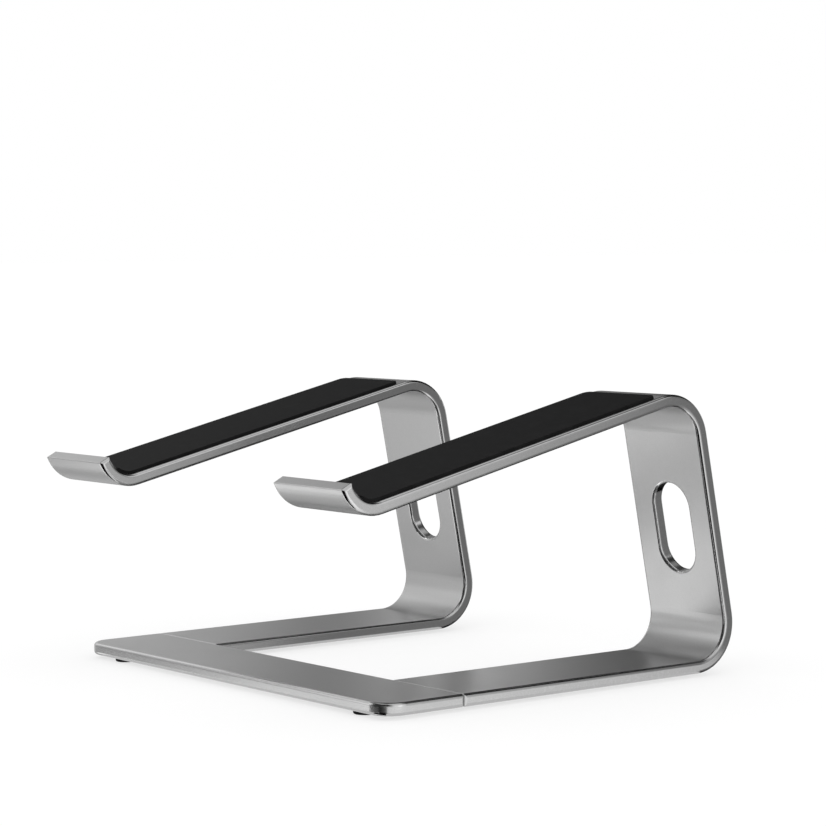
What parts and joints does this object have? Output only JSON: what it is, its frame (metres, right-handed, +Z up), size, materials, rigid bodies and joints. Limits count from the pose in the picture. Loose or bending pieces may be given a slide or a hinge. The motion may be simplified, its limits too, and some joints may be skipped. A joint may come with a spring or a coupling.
{
  "type": "laptop stand",
  "caption": "Sloping laptop stand of bent aluminium plate: a front crossbar joins C-shaped side arms with padded upper runs, upturned front hooks and slotted rear legs.",
  "frame": {"origin": "middle of the stand's footprint box, on the table under the feet", "axes": "+X to the right across the stand, +Y from the crossbar at the front to the legs at the back, +Z up"},
  "size_m": [0.26, 0.238, 0.14],
  "materials": {
    "anodised_plate": "bead-blasted and clear anodised, satin, with smoother rounded edges",
    "screw_steel": "blackened steel",
    "pad_rubber": "matt black, faintly grained",
    "foot_rubber": "matt black"
  },
  "bodies": {
    "root": {"crossbar": "anodised_plate", "arm_right": "anodised_plate", "arm_left": "anodised_plate", "joint_screws": "screw_steel", "arm_pad_right": "pad_rubber", "arm_pad_left": "pad_rubber", "front_foot_right": "foot_rubber", "front_foot_left": "foot_rubber", "rear_foot_right": "foot_rubber", "rear_foot_left": "foot_rubber"}
  },
  "joints": []
}
